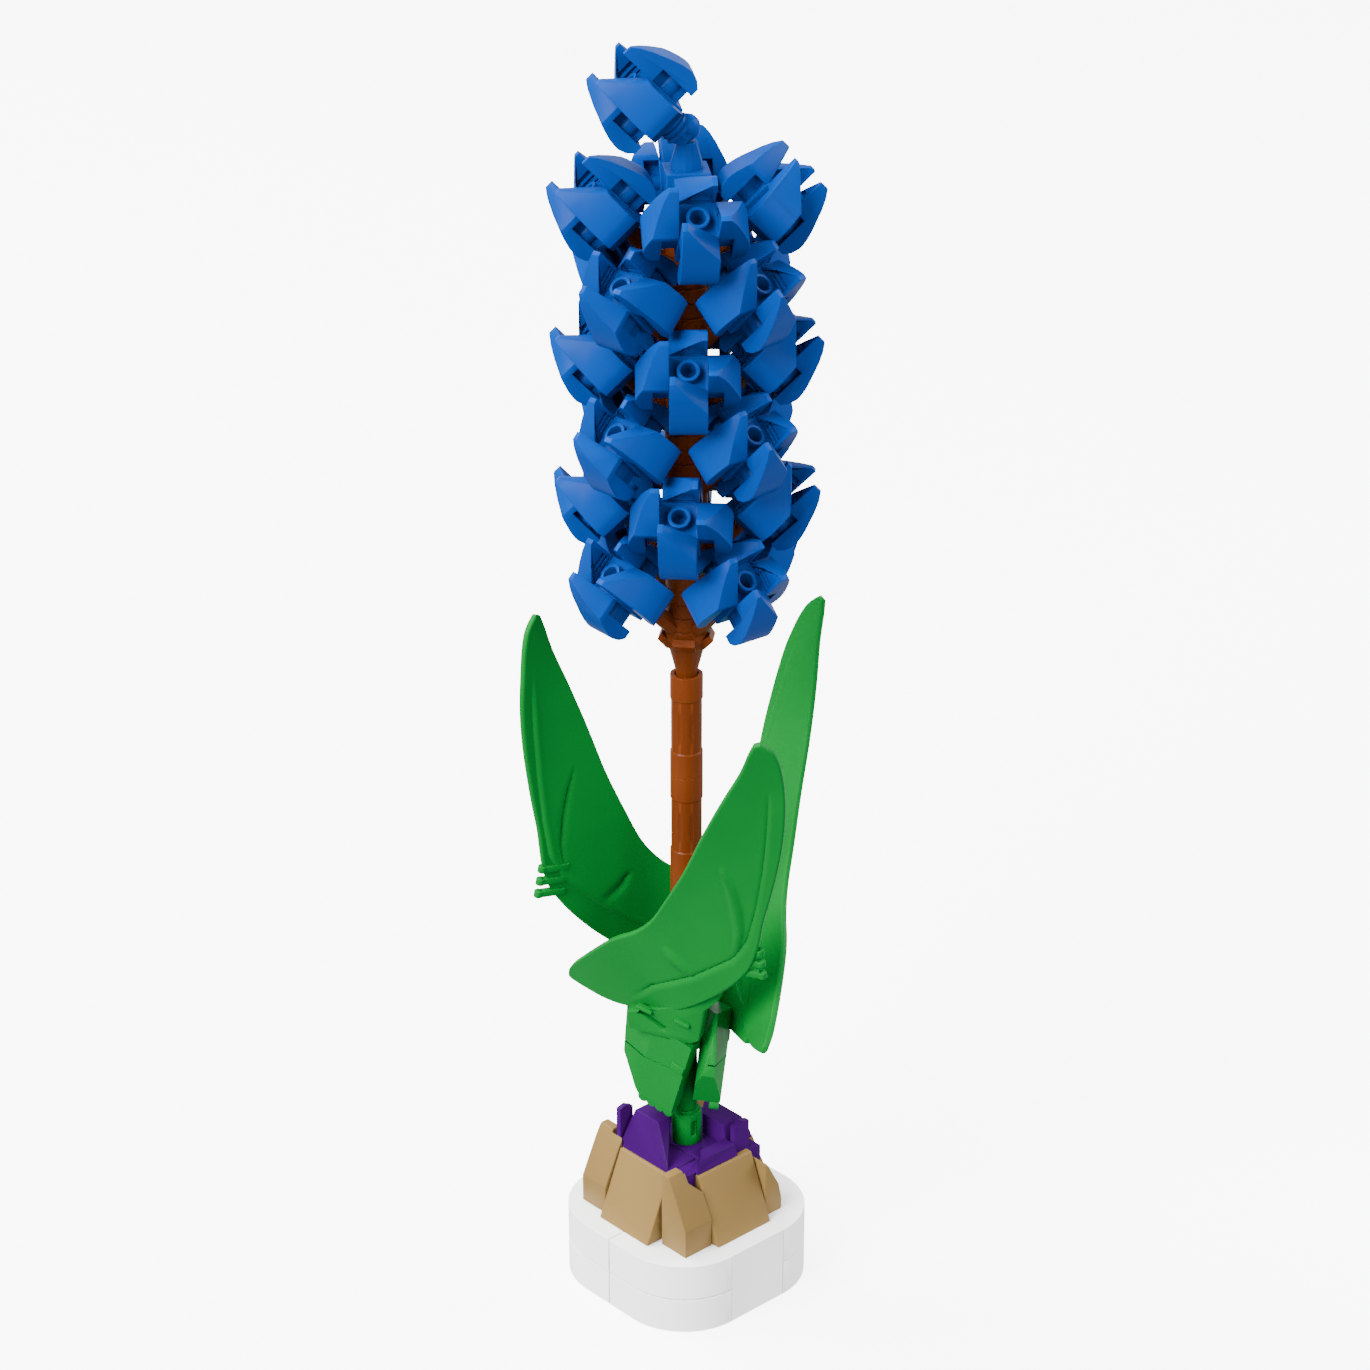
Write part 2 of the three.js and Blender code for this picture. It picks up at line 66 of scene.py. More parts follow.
# Bulb: the notch in its front tooth, whose foot rises from the notch's right side to its left
TOOTH_EDGE = 0.5
NOTCH_X = (-11.6, -8.2)
NOTCH_Y = (-20, -8)
NOTCH_Z = (26.2, 39.5)
NOTCH_LEFT_FOOT = 33.5

# Stem: hollow tubes with collars, a waist and flutes round the waist
TUBE_R = 3.6
WAIST_R = 3.4
BORE_R = 2.6
TUBE_LENGTH = 24
TUBE_TOP = 151.9
COLLAR = 5.6
COLLAR_STEP = 0.3
FLUTES = 8
FLUTE_RADII = (0.62, 1, 6.6)
FLUTE_OUT = 0.25

# Spine: a column of round plates, which ends below the top ring of florets
PLATE_R = 4.5
COLUMN_BOTTOM = 160
COLUMN_TOP = 257.3
PLATE_STEP = 3.2
PLATE_SEAM = 0.15

# Foot tube, its slotted socket and the strut to the rear bracket
FOOT_R = 2.45
FOOT_Z = (41.4, 88)
FOOT_COLLAR_R = 2.8
FOOT_COLLAR_Z = (42.2, 43.1)
SOCKET_R = 3.4
SOCKET_Z = (34.4, 42.4)
SOCKET_EDGE = 0.35
SLOT_X = (-0.65, 0.65)
SLOT_Z = (36.8, 40.6)
SLOT_DEPTH = 1
SLOT_EDGE = 0.5
SLOT_TURN = math.radians(-12.5)
STRUT_Z = (61.6, 66.4)

# Flower head: rings of four florets, each ring turned by 45 degrees and a little more
RINGS = 6
RING_TOP = 259.3
RING_STEP = 16
RING_AZIMUTH = -126.1
RING_TWIST = -2.65
RING_R = 19.2
RECLINE = math.radians(45)

# Topmost floret and the ribbed barrel that carries it
CROWN_AZIMUTH = -216.1
CROWN_R = 10.7
CROWN_Z = 281.5
CROWN_COLLAR_XY = (-4.6, 4.6)
CROWN_COLLAR_Z = (253, 264.5)
BARREL_R = 3.35
BARREL_RIBS = 3
BARREL_RIB_Z = (1.8, 2.7)
BARREL_PITCH = 1.3
BARREL_EDGE = 0.25

# Floret: a cube with a dished front and a hollow stud
HUB_HALF = 4
HUB_LENGTH = 9.6
HUB_RIM = 0.75
HUB_DISH = 0.25
HUB_HOLE_R = 2.1
STUD_R = 2.4
STUD_BORE_R = 1.65
STUD_HEIGHT = 1.7
STUD_DEPTH = 4
STUD_FLOOR = 0.5
STUD_EDGE = 0.16

# Petal: its inner face is sunk a little into the hub. Its back is a curve, measured out from that face and
# down from its tip, and a slanted cut takes one corner off the tip.
PETAL_INNER = HUB_HALF - 0.05
PETAL_TIP = 16.8
PETAL_LENGTH = 16
PETAL_HALF = 3.9
PETAL_THICK = 7
PETAL_BACK = [(2.4, 0), (4.45, 4), (5.95, 8.2), (6.8, 12), (6.4, 14.4), (5, 16)]
PETAL_CUTS = 15
SLANT_START = -2.8
SLANT_NORMAL = (0, 8, 6.7)
# Below its seat the petal stands off the hub by a gap, and a round peg and a web carry it across
GAP_DEPTH = 3.2
GAP_Y = (-9, 9)
GAP_Z = (-9, 8.8)
PEG_Z = 4.8
PEG_LENGTH = 8.4
PEG_RIM = 0.9
WEB_DEPTH = 4.2
WEB_Y = (-1.6, 1.6)
WEB_Z = (1.4, 9)
# The hollow inside its foot, and the pocket with two ribs beside the stud
HOLLOW_DEPTH = 4.8
HOLLOW_Y = (-2.9, 2.9)
HOLLOW_Z = (1.9, 7.8)
POCKET_DEPTH = 0.7
POCKET_Y = (-3.1, 0.9)
POCKET_Z = (9.8, 12.8)
POCKET_RIB_DEPTHS = (0.25, 1.2)
POCKET_RIB_Y = (-3.2, 1)
POCKET_RIBS_Z = [(10.2, 10.7), (11.4, 11.9)]

# Leaf: blade edges in the leaf's own plane, from the tip, past the elbow at 0,0, to the tip of the lobe
OUTER_EDGE = [
    (11, 70), (13.3, 66.5), (13.9, 60.4), (13.2, 50.2), (11.4, 40.3), (8.7, 30.3), (5.1, 19.2),
    (-1.2, 1.8), (-18.7, -13.8), (-36.3, -19.7), (-48.3, -18), (-49.9, -16),
]
INNER_EDGE = [
    (9.6, 69.5), (8, 66.5), (5.2, 60.6), (-0.2, 51.4), (-5.8, 41.2), (-11.8, 29.5), (-18, 19.1),
    (-22.7, 11.8), (-27.6, 6.8), (-35.1, 1.3), (-46.5, -10.4), (-49.6, -14.8),
]
BLADE_COLUMNS = 80
BLADE_ROWS = 200
BLADE = 1.5
RIM_R = 0.6
RIM_THINNEST = 0.3
# Its curl is a shallow saddle, with factors for x squared, y squared and x times y
CURL = (-0.00163, 0.00185, -0.00452)
# The crease is a groove with a raised band on one side of it. Both fade at the crease's two ends, over these
# shares of its length. The ribs are low and taper off.
CREASE = [
    (10.8, 58), (10, 51.7), (8.3, 42), (6.2, 32), (3.4, 21), (0.3, 11.5),
    (-3.5, 5.5), (-14.4, -2.8), (-25.8, -9.5), (-32.8, -16.7),
]
BAND = 0.5
BAND_WIDTH = 1.2
GROOVE = 0.5
GROOVE_WIDTH = 0.45
CREASE_FADES = (0.2, 0.1)
RIBS = [
    [(-2.8, 32.5), (-1.7, 27), (-1.2, 21), (-1.4, 14), (-3.2, 7.5)],
    [(-20.5, 4.6), (-18.4, 1), (-14.4, -2.8)],
]
RIB_HEIGHT = 0.9
RIB_END_WIDTH = 0.3
RIB_SWELL = 0.6

# Neck: the plate between blade and bracket. The left leaf's is narrower, because the rest of it would show.
NECK = [
    (-8.6, -5.5), (-18.7, -12.8), (-25, -15.3), (-33, -18),
    (-33, -23), (-18, -24), (-15.6, -22.5), (-13.3, -13.2), (-9.6, -9.4),
]
NARROW_NECK = [(-19.5, -13.4), (-25, -15.3), (-33, -18), (-33, -23), (-19, -24), (-18, -18)]
NECK_BACK = -3.4
NECK_FRONT = -0.4
NECK_EDGE = 0.45
NECK_SLOT = ((-3.3, 3.3), (-0.7, 0.7), (-2.4, 1))
NECK_SLOT_AT = (-26.5, -19.1)
NECK_SLOT_TURN = -34
NECK_BAR = ((-1.9, 1.9), (-0.5, 0.5), (-0.8, 0.8))
NECK_BARS_AT = [(-28, -15.9), (-19.1, -17.7)]
NECK_BAR_TURN = -19
NECK_BAR_EDGE = 0.3

# Teeth: three claws with round lips
TEETH = 3
TOOTH_START = 1
TOOTH_PITCH = 3.2
TOOTH_WIDTH = 1.6
CLAW_X = (-4, 2.6)
CLAW_Z = (-0.8, 0.8)
LIP_X = 2.4
LIP_R = 1

# Bracket, in its own frame: the seam over its face and slope, the step at its side, scallops at its foot
SEAM_TILT = math.radians(13)
SEAM_Y = (-0.15, 0.15)
FACE_SEAM = ((-6, 18), SEAM_Y, (-0.35, 2))
SLOPE_SEAM = ((-6, 7), SEAM_Y, (-4, 2))
SLOPE_START = (6, 0, -0.35)
SLOPE_NORMAL = (3.6, 0, -10.5)
BRACKET_STEP = ((12.6, 16), (3.2, 5.4), (-1, 0.35))
SCALLOPS = 4
SCALLOP_R = 1.3
SCALLOP_Z = (-2.4, -0.2)
SCALLOP_START = Vector((8.4, -10.5, 0))
SCALLOP_PITCH = Vector((2.3, 0.15, 0))

# Where things go: the elbow's or the bracket's place, its turn about the stem, its lean and its roll
LEAVES = {
    "leaf_front": ((-5.6, -27.5, 89.9), -66.7, 102, 1.2),
    "leaf_left": ((-20.9, 23.4, 94.9), 167.1, 83.8, 6.6),
    "leaf_back": ((23.7, 10.4, 85.7), 67.5, 108, -2.4),
}
BRACKET_POSE = ((-11.9, 8.6, 59.6), -75.7, 96.7, -19.8)
# Each bracket's turn about the stem from the front one, lift and move outwards
BRACKETS = {"leaf_front": (0, 0, 0), "leaf_left": (-120, 4, 5.5), "leaf_back": (120, 1, 0)}

# How far a cutter reaches past what it cuts
BEYOND = 1

# Studio: the floor's and the lamps' sizes and distance in metres, and how bright the floor shows
FLOOR_SIZE = 12
FLOOR_GLOW = 4.8
LAMP_DISTANCE = 3
LARGE_LAMP = 2
SMALL_LAMP = 1.6


# ---------- modelling by hand ----------

def deselect():
    """Leaves edit mode, where one is open, and selects nothing."""
    if bpy.context.object and bpy.context.object.mode != "OBJECT":
        bpy.ops.object.mode_set(mode="OBJECT")
    bpy.ops.object.select_all(action="DESELECT")


def pick(piece):
    deselect()
    piece.select_set(True)
    bpy.context.view_layer.objects.active = piece


def named(name):
    """Names the active object and its mesh."""
    piece = bpy.context.object
    piece.name = name
    piece.data.name = name
    return piece


def settle(piece):
    """Puts the piece's place into its mesh, so that its object is at the origin."""
    pick(piece)
    bpy.ops.object.transform_apply(location=True, rotation=True, scale=True)
    return piece


def place(piece, matrix):
    piece.matrix_world = matrix
    return settle(piece)


def cuboid(name, x, y, z):
    """A box between two values along each axis."""
    deselect()
    middle = [(low + high) / 2 * MM for low, high in (x, y, z)]
    size = [(high - low) * MM for low, high in (x, y, z)]
    bpy.ops.mesh.primitive_cube_add(size=1, location=middle, scale=size)
    return settle(named(name))


def rod(name, radius, low, high, sides=32):
    """An upright rod on the Z axis."""
    deselect()
    bpy.ops.mesh.primitive_cylinder_add(
        vertices=sides,
        radius=radius * MM,
        depth=(high - low) * MM,
        location=(0, 0, (low + high) / 2 * MM),
    )
    return settle(named(name))


def edges_where(piece, chosen):
    """Opens the piece in edit mode with the edges for which chosen(end, other end) is true selected."""
    pick(piece)
    bpy.ops.object.mode_set(mode="EDIT")
    bpy.ops.mesh.select_mode(type="EDGE")
    bpy.ops.mesh.select_all(action="DESELECT")
    bpy.ops.object.mode_set(mode="OBJECT")
    points = piece.data.vertices
    for edge in piece.data.edges:
        edge.select = chosen(*[points[i].co / MM for i in edge.vertices])
    bpy.ops.object.mode_set(mode="EDIT")


def faces_where(piece, chosen):
    """Opens the piece in edit mode with the faces for which chosen(centre, normal) is true selected."""
    pick(piece)
    bpy.ops.object.mode_set(mode="EDIT")
    bpy.ops.mesh.select_mode(type="FACE")
    bpy.ops.mesh.select_all(action="DESELECT")
    bpy.ops.object.mode_set(mode="OBJECT")
    for face in piece.data.polygons:
        face.select = chosen(face.center / MM, face.normal)
    bpy.ops.object.mode_set(mode="EDIT")


def facing(direction):
    """A test for faces that look along a direction."""
    return lambda centre, normal: normal.dot(Vector(direction)) > 0.99


def leave():
    bpy.ops.object.mode_set(mode="OBJECT")


def bisect(piece, point, normal):
    """Cuts away what lies beyond a plane and closes the cut."""
    pick(piece)
    bpy.ops.object.mode_set(mode="EDIT")
    bpy.ops.mesh.select_all(action="SELECT")
    bpy.ops.mesh.bisect(
        plane_co=[value * MM for value in point], plane_no=normal, use_fill=True, clear_outer=True,
    )
    leave()


def bevel(piece, width, segments, chosen):
    """Bevels only the chosen edges."""
    edges_where(piece, chosen)
    bpy.ops.mesh.bevel(offset=width * MM, segments=segments, affect="EDGES")
    leave()


def inset(piece, chosen, thickness, depth=0):
    """Insets the chosen faces, and sinks or raises what is inside the rim by depth."""
    faces_where(piece, chosen)
    bpy.ops.mesh.inset(thickness=thickness * MM, depth=depth * MM)
    leave()


def extrude_up(height, scale=1.0):
    """Extrudes the selected face along Z, then widens or narrows it about the axis."""
    bpy.ops.mesh.extrude_region_move(TRANSFORM_OT_translate={"value": (0, 0, height * MM)})
    if scale != 1:
        bpy.ops.transform.resize(value=(scale, scale, 1), center_override=(0, 0, 0))


def modify(piece, kind, **settings):
    """Adds a modifier and applies it."""
    pick(piece)
    modifier = piece.modifiers.new(kind.lower(), kind)
    for name, value in settings.items():
        setattr(modifier, name, value)
    bpy.ops.object.modifier_apply(modifier=modifier.name)


def carve(piece, *cutters):
    """Cuts each cutter out of the piece and removes the cutter."""
    for cutter in cutters:
        modify(piece, "BOOLEAN", object=cutter, operation="DIFFERENCE", solver="EXACT")
        bpy.data.objects.remove(cutter)
    return piece


def join(*pieces):
    pick(pieces[0])
    for piece in pieces[1:]:
        piece.select_set(True)
    bpy.ops.object.join()
    return pieces[0]


def copy_piece(piece, name, matrix):
    """A copy with its own mesh, put in its place."""
    pick(piece)
    bpy.ops.object.duplicate()
    return place(named(name), matrix)


def smooth(piece, angle=20):
    pick(piece)
    bpy.ops.object.shade_smooth_by_angle(angle=math.radians(angle))


def round_edges(piece, width=EDGE, segments=2, angle=30):
    """Rounds every edge that folds by more than the angle in degrees."""
    modify(
        piece, "BEVEL", width=width * MM, segments=segments, limit_method="ANGLE",
        angle_limit=math.radians(angle), harden_normals=False, use_clamp_overlap=True,
    )
    smooth(piece)
    return piece


def finish_piece(piece, finish, slot, *replaced):
    """Gives a piece its plastic and hides the CAD nodes that it takes the place of. slot is not used."""
    piece.data.materials.clear()
    piece.data.materials.append(finish)
    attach(piece, "root")
    if replaced:
        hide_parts(*replaced)
    return piece


def copy_of_node(node, name):
    """A piece with the shape of a CAD node: doubles merged and flat faces joined, ready for its finish."""
    piece = NODES[node].copy()
    piece.data = NODES[node].data.copy()
    bpy.context.scene.collection.objects.link(piece)
    piece.name = name
    piece.data.name = name
    world = piece.matrix_world.copy()
    piece.parent = None
    place(piece, world)
    bpy.ops.object.mode_set(mode="EDIT")
    bpy.ops.mesh.select_all(action="SELECT")
    bpy.ops.mesh.remove_doubles(threshold=0.01 * MM)
    bpy.ops.mesh.dissolve_limited(angle_limit=math.radians(0.5))
    leave()
    return piece


# ---------- shader maths ----------

class Wire:
    """A shader socket that takes part in plain arithmetic: each operator adds one Math node."""

    def __init__(self, tree, socket=None):
        self.tree = tree
        self.socket = socket

    def node(self, kind, settings=None, inputs=None, output=0):
        made = self.tree.nodes.new(kind)
        for name, value in (settings or {}).items():
            setattr(made, name, value)
        for name, value in (inputs or {}).items():
            if isinstance(value, Wire):
                self.tree.links.new(value.socket, made.inputs[name])
            else:
                made.inputs[name].default_value = value
        return Wire(self.tree, made.outputs[output])

    def maths(self, operation, first, second):
        return self.node("ShaderNodeMath", {"operation": operation}, {0: first, 1: second})

    def __add__(self, other):
        return self.maths("ADD", self, other)

    __radd__ = __add__

    def __mul__(self, other):
        return self.maths("MULTIPLY", self, other)

    __rmul__ = __mul__

    def __sub__(self, other):
        return self.maths("SUBTRACT", self, other)

    def __rsub__(self, other):
        return self.maths("SUBTRACT", other, self)

    def between(self, low, high):
        """0 below low, 1 above high, smooth in between."""
        return self.node(
            "ShaderNodeMapRange",
            {"interpolation_type": "SMOOTHSTEP"},
            {"Value": self, "From Min": low, "From Max": high},
        )

    def noise(self, scale, detail, rough=0.5):
        inputs = {"Vector": self, "Scale": scale, "Detail": detail, "Roughness": rough}
        return self.node("ShaderNodeTexNoise", inputs=inputs)

    def blend(self, low, high):
        """A colour between two, by this value."""
        settings = {"data_type": "RGBA", "blend_type": "MIX"}
        return self.node("ShaderNodeMix", settings, {0: self, 6: low, 7: high}, output=2)


def tint(colour, factor):
    return (*[channel * factor for channel in colour], 1)


def moulded_plastic(name, colour, roughness=0.3, gloss=0.3, edge_highlight=1.5):
    """Moulded plastic: a soft change of tone, flow ripples, fine grain, scuffs and a painted highlight on
    its sharpest edges.

    roughness is the skin's before its scuffs, gloss is how strongly it mirrors at right angles, and the last
    setting is how much paler its sharpest edges are painted, as a highlight.
    """
    material = bpy.data.materials.new(name)
    material.use_nodes = True
    tree = material.node_tree
    shader = tree.nodes["Principled BSDF"]
    place_on = Wire(tree).node("ShaderNodeTexCoord", output="Object")

    # Noise scales are features a metre: clouds of 3 cm, ripples of 3 mm, scuffs of 1 mm, grain of 0.4 mm
    cloud = place_on.noise(35, 2)
    ripple = place_on.noise(340, 2)
    scuffs = place_on.noise(950, 5, 0.75).between(0.58, 0.72)
    grain = place_on.noise(2600, 3, 0.6)
    # Painted highlight: the sharpest edges, found by pointiness, are painted paler
    edge = Wire(tree).node("ShaderNodeNewGeometry", output="Pointiness").between(0.51, 0.58)

    tone = cloud.between(0.3, 0.7).blend(tint(colour, 0.94), tint(colour, 1.05))
    tone = (edge * 0.5 + scuffs * 0.04).blend(tone, tint(colour, edge_highlight))
    height = ripple * 0.7 + grain * 0.12 - scuffs * 0.2
    inputs = {"Strength": 0.1, "Distance": 0.1 * MM, "Height": height}
    bump = Wire(tree).node("ShaderNodeBump", inputs=inputs)
    rough = cloud * 0.05 + scuffs * 0.12 + grain * 0.03 + roughness
    tree.links.new(tone.socket, shader.inputs["Base Color"])
    tree.links.new(rough.socket, shader.inputs["Roughness"])
    tree.links.new(bump.socket, shader.inputs["Normal"])
    shader.inputs["IOR"].default_value = 1.5
    shader.inputs["Specular IOR Level"].default_value = gloss
    return material


# The last setting of each plastic is how much paler its sharpest edges are painted, as a highlight
BLUE = moulded_plastic("blue_plastic", (0.0001, 0.0252, 0.15), roughness=0.28, gloss=0.035, edge_highlight=1.7)
BROWN = moulded_plastic("brown_plastic", (0.08, 0.0172, 0.003), roughness=0.24, gloss=0.06, edge_highlight=1.8)
GREEN = moulded_plastic("green_plastic", (0.0001, 0.112, 0.0148), roughness=0.3, gloss=0.035, edge_highlight=1)
PURPLE = moulded_plastic("purple_plastic", (0.019, 0.0001, 0.046), roughness=0.33, gloss=0.03, edge_highlight=2)
TAN = moulded_plastic("tan_plastic", (0.136, 0.084, 0.026), roughness=0.4, gloss=0.08, edge_highlight=1.3)
WHITE = moulded_plastic("white_plastic", (0.88, 0.88, 0.88), roughness=0.4, gloss=0.3, edge_highlight=1)


# ---------- white base ----------

def corner_block(name, side_x, side_y, low, high):
    x = sorted(((INSERT_HALF + BLOCK_SEAM) * side_x, BASE_HALF * side_x))
    y = sorted((BLOCK_SEAM * side_y, BASE_HALF * side_y))
    block = cuboid(name, x, y, (low, high))

    def at_corner(end, other):
        return all(abs(abs(value) - BASE_HALF) < 0.01 for point in (end, other) for value in point.xy)

    bevel(block, BASE_CORNER_R, BASE_CORNER_CUTS, at_corner)
    return round_edges(block, FINE_EDGE, angle=40)


def build_base():
    places = {"front_left": (-1, -1), "front_right": (1, -1), "back_right": (1, 1), "back_left": (-1, 1)}
    for layer, low, high in (("lower", 0, LAYER - LAYER_SEAM), ("upper", LAYER, 2 * LAYER)):
        for where, sides in places.items():
            node = f"base_corner_{layer}_{where}"
            finish_piece(corner_block(f"{node}_block", *sides, low, high), WHITE, "white_plastic", node)
    for where, side in (("front", -1), ("back", 1)):
        y = sorted((0, BASE_HALF * side))
        insert = cuboid(f"base_insert_{where}_block", (-INSERT_HALF, INSERT_HALF), y, (0, 2 * LAYER))
        finish_piece(round_edges(insert, FINE_EDGE), WHITE, "white_plastic", f"base_insert_{where}")


# ---------- bulb ----------

def corner_notch():
    """The wedge that is missing from the front tooth, where the purple heart shows."""
    left, right = NOTCH_X
    wedge = cuboid("notch", NOTCH_X, NOTCH_Y, NOTCH_Z)
    bisect(wedge, (left, 0, NOTCH_LEFT_FOOT), (NOTCH_Z[0] - NOTCH_LEFT_FOOT, 0, left - right))
    return wedge


def build_bulb():
    for node in sorted(NODES):
        if node.startswith("bulb_face"):
            shell = round_edges(copy_of_node(node, f"{node}_shell"), SOFT_EDGE, 3)
            finish_piece(shell, TAN, "tan_plastic", node)
        elif node.startswith("bulb_corner"):
            tooth = copy_of_node(node, f"{node}_tooth")
            if node.endswith("front"):
                carve(tooth, corner_notch())
            finish_piece(round_edges(tooth, TOOTH_EDGE, 4, angle=12), TAN, "tan_plastic", node)
        elif node.startswith("bulb_heart"):
            heart = round_edges(copy_of_node(node, f"{node}_block"), EDGE, 3)
            finish_piece(heart, PURPLE, "purple_plastic", node)


# ---------- stem ----------

def flute(index, middle):
    """One of the long shallow hollows round a tube's waist."""
    deselect()
    bpy.ops.mesh.primitive_uv_sphere_add(segments=20, ring_count=14, radius=MM)
    turn = Matrix.Rotation(math.tau * (index + 0.5) / FLUTES, 4, "Z")
    out = Matrix.Translation(Vector((TUBE_R + FLUTE_OUT, 0, middle)) * MM)
    return place(named(f"flute_{index}"), turn @ out @ Matrix.Diagonal((*FLUTE_RADII, 1)))


def stem_tube(name, low):
    """A hollow tube: a collar at each end, and a waist with upright flutes."""
    tube = rod(name, TUBE_R, low, low + COLLAR, 48)
    faces_where(tube, facing((0, 0, 1)))
    extrude_up(COLLAR_STEP, WAIST_R / TUBE_R)
    extrude_up(TUBE_LENGTH - 2 * COLLAR - 2 * COLLAR_STEP)
    extrude_up(COLLAR_STEP, TUBE_R / WAIST_R)
    extrude_up(COLLAR)
    leave()
    bore = rod("bore", BORE_R, low - BEYOND, low + TUBE_LENGTH + BEYOND, 32)
    flutes = [flute(index, low + TUBE_LENGTH / 2) for index in range(FLUTES)]
    carve(tube, bore, join(*flutes))
    return round_edges(tube, FINE_EDGE, angle=40)


def build_stem():
    for index, where in enumerate(("upper", "middle", "lower")):
        node = f"stem_tube_{where}"
        tube = stem_tube(f"{node}_fluted", TUBE_TOP - (index + 1) * TUBE_LENGTH)
        finish_piece(tube, BROWN, "brown_plastic", node)
    build_spine()
    build_foot()


def build_spine():
    """The column with its arms, ringed by the edges of the round plates that it is stacked from."""
    column = round_edges(copy_of_node("spine", "spine_column"), FINE_EDGE, angle=40)
    plates = []
    for index in range(int((COLUMN_TOP - COLUMN_BOTTOM) / PLATE_STEP)):
        low = COLUMN_BOTTOM + index * PLATE_STEP
        plates.append(rod(f"plate_{index}", PLATE_R, low + PLATE_SEAM, low + PLATE_STEP - PLATE_SEAM, 32))
    stack = round_edges(join(*plates), EDGE, angle=40)
    finish_piece(join(column, stack), BROWN, "brown_plastic", "spine")


def build_foot():
    """The foot tube in its slotted socket, with the strut that reaches the rear bracket."""
    socket = rod("foot_tube_socket", SOCKET_R, *SOCKET_Z, 40)
    slot = cuboid("slot", SLOT_X, (-SOCKET_R - BEYOND, -SOCKET_R + SLOT_DEPTH), SLOT_Z)
    round_edges(slot, SLOT_EDGE, 4)
    carve(socket, place(slot, Matrix.Rotation(SLOT_TURN, 4, "Z")))
    round_edges(socket, SOCKET_EDGE, 3, angle=50)
    tube = rod("tube", FOOT_R, *FOOT_Z, 40)
    collar = rod("collar", FOOT_COLLAR_R, *FOOT_COLLAR_Z, 40)
    strut = copy_of_node("foot_tube", "strut")
    bisect(strut, (0, 0, STRUT_Z[0]), (0, 0, -1))
    bisect(strut, (0, 0, STRUT_Z[1]), (0, 0, 1))
    for piece in (tube, collar, strut):
        round_edges(piece, EDGE, 3)
    finish_piece(join(socket, tube, collar, strut), GREEN, "green_plastic", "foot_tube")


# ---------- florets ----------

def petal():
    """The petal on the hub's +X side, with its tip beyond the hub's front at +Z."""
    thick = (PETAL_INNER, PETAL_INNER + PETAL_THICK)
    blade = cuboid("petal", thick, (-PETAL_HALF, PETAL_HALF), (PETAL_TIP - PETAL_LENGTH, PETAL_TIP))
    back = [on_curve(PETAL_BACK, index / PETAL_CUTS) for index in range(PETAL_CUTS + 1)]
    for point, following in zip(back, back[1:]):
        step = following - point
        bisect(blade, (PETAL_INNER + point.x, 0, PETAL_TIP - point.y), (step.y, 0, step.x))
    bisect(blade, (PETAL_INNER, SLANT_START, PETAL_TIP), SLANT_NORMAL)
    gap = cuboid("gap", (0, PETAL_INNER + GAP_DEPTH), GAP_Y, GAP_Z)
    pocket = cuboid("pocket", (0, PETAL_INNER + POCKET_DEPTH), POCKET_Y, POCKET_Z)
    hollow = cuboid("hollow", (0, PETAL_INNER + HOLLOW_DEPTH), HOLLOW_Y, HOLLOW_Z)
    carve(blade, gap, pocket, hollow)
    round_edges(blade, FINE_EDGE)
    rib_x = [PETAL_INNER + depth for depth in POCKET_RIB_DEPTHS]
    ribs = [cuboid("rib", rib_x, POCKET_RIB_Y, rib_z) for rib_z in POCKET_RIBS_Z]
    carrier = [peg(), cuboid("web", (PETAL_INNER, PETAL_INNER + WEB_DEPTH), WEB_Y, WEB_Z)]
    return join(blade, *carrier, *ribs)


def peg():
    """The round peg that carries a petal, with a rim on its end."""
    upright = rod("peg", STUD_R, 0, PEG_LENGTH, 24)
    inset(upright, facing((0, 0, 1)), PEG_RIM)
    to_side = Matrix.Translation((0, 0, PEG_Z * MM)) @ Matrix.Rotation(math.radians(90), 4, "Y")
    return round_edges(place(upright, to_side), FINE_EDGE)


def hollow_stud():
    """The stud on the hub's front, with a blind bore."""
    stud = rod("stud", STUD_R, HUB_LENGTH - STUD_DEPTH - STUD_FLOOR, HUB_LENGTH + STUD_HEIGHT, 36)
    inset(stud, facing((0, 0, 1)), STUD_R - STUD_BORE_R)
    faces_where(stud, lambda centre, normal: normal.z > 0.99 and centre.xy.length < 0.1)
    extrude_up(-STUD_DEPTH)
    leave()
    return round_edges(stud, STUD_EDGE, 3, angle=50)


def floret():
    hub = cuboid("floret", (-HUB_HALF, HUB_HALF), (-HUB_HALF, HUB_HALF), (0, HUB_LENGTH))
    inset(hub, facing((0, 0, 1)), HUB_RIM, -HUB_DISH)
    carve(hub, rod("hole", HUB_HOLE_R, HUB_LENGTH - STUD_DEPTH, HUB_LENGTH + BEYOND, 36))
    round_edges(hub, FINE_EDGE)
    stud = hollow_stud()
    first = petal()
    others = []
    for index in (1, 2, 3):
        turn = Matrix.Rotation(math.radians(90 * index), 4, "Z")
        others.append(copy_piece(first, f"petal_{index}", turn))
    return join(hub, stud, first, *others)


def floret_place(azimuth, reach, height):
    """Where a floret goes: its hub's front is reach out from the stem, and it leans back by RECLINE."""
    drop = HUB_LENGTH * math.cos(RECLINE)
    lean = Matrix.Rotation(RECLINE, 4, "Y")
    out = Matrix.Translation(Vector((reach - drop, 0, height - drop)) * MM)
    return Matrix.Rotation(math.radians(azimuth), 4, "Z") @ out @ lean


